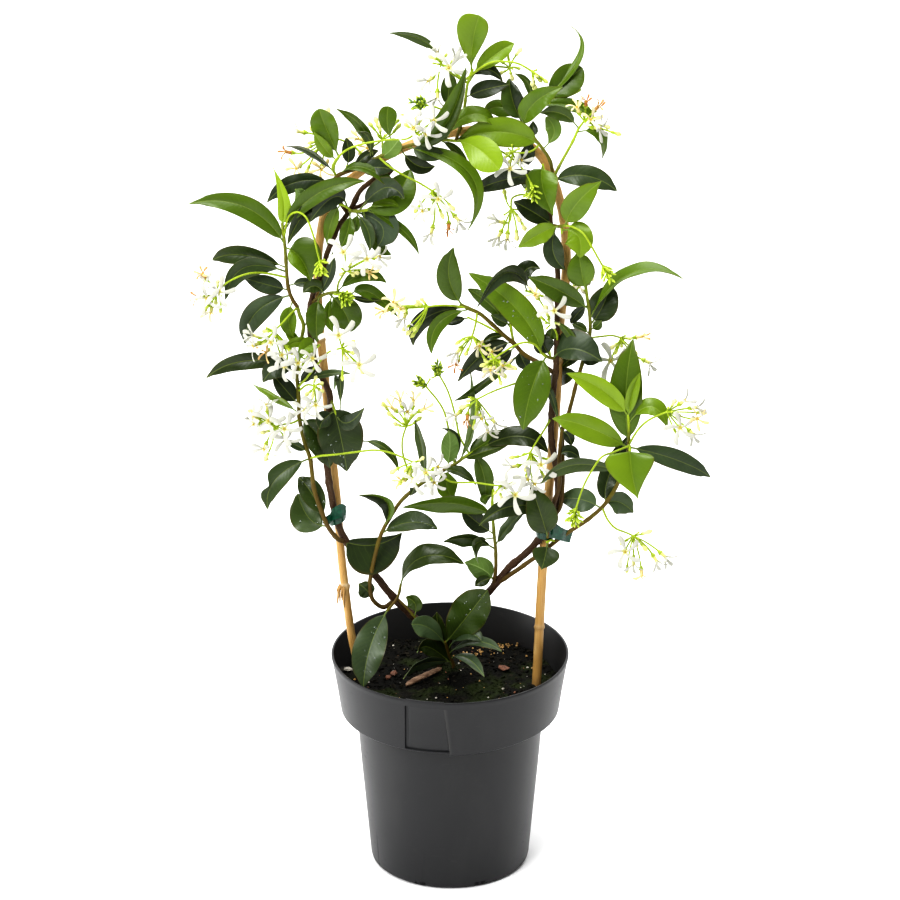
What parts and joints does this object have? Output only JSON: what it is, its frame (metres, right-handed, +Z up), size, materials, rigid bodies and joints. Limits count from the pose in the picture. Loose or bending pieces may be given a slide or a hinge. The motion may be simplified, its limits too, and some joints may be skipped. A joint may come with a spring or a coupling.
{
  "type": "potted star jasmine",
  "caption": "Star jasmine trained round a bent cane hoop in a round nursery pot, with glossy paired leaves and white pinwheel flowers.",
  "frame": {"origin": "middle of the pot's underside", "axes": "+Z up, +X to the plant's right as seen from its front, -Y its front"},
  "size_m": [0.4234, 0.2, 0.7458],
  "materials": {
    "pot_plastic": "satin charcoal, moulded",
    "potting_mix": "rough, crumbly",
    "bark": "rough, fibrous",
    "cane": "satin, with nodes",
    "tie_plastic": "soft sheen",
    "stem_bark": "rough bark",
    "foliage": "glossy, waxy leaf",
    "flower": "matte petal"
  },
  "bodies": {
    "root": {"bark_chip": "bark", "branch_centre": "foliage", "cane_hoop": "cane", "climber_right": "foliage", "flowers_arch_left": "flower", "flowers_arch_right": "flower", "flowers_centre": "flower", "flowers_centre_bottom": "flower", "flowers_centre_hanging": "flower", "flowers_centre_left": "flower", "flowers_centre_low": "flower", "flowers_centre_right": "flower", "flowers_far_left": "flower", "flowers_far_right": "flower", "flowers_left_high": "flower", "flowers_left_inner": "flower", "flowers_left_low": "flower", "flowers_low_right": "flower", "flowers_middle": "flower", "flowers_middle_left": "flower", "flowers_outer_left": "flower", "flowers_right": "flower", "flowers_right_low": "flower", "flowers_right_small": "flower", "flowers_right_top": "flower", "flowers_top": "flower", "flowers_top_left": "flower", "flowers_top_pair": "flower", "flowers_top_small": "flower", "flowers_under_top": "flower", "flowers_upper_left": "flower", "leader_left": "foliage", "leader_top": "foliage", "pot": "pot_plastic", "potting_mix": "potting_mix", "rosette_right": "foliage", "runner_right": "foliage", "shoot_centre_pair": "foliage", "shoot_centre_right": "foliage", "shoot_crown": "foliage", "shoot_left_high": "foliage", "shoot_left_inner": "foliage", "shoot_left_knot": "foliage", "shoot_left_low": "foliage", "shoot_left_middle": "foliage", "shoot_left_pair": "foliage", "shoot_low_left": "foliage", "shoot_right_crown": "foliage", "shoot_right_long": "foliage", "shoot_right_top": "foliage", "shoot_right_upper": "foliage", "shoot_top": "foliage", "shoot_twining_low": "foliage", "shoot_twining_top": "foliage", "shoot_upright": "foliage", "tie_left": "tie_plastic", "tie_right": "tie_plastic", "woody_stem": "stem_bark"}
  },
  "joints": []
}
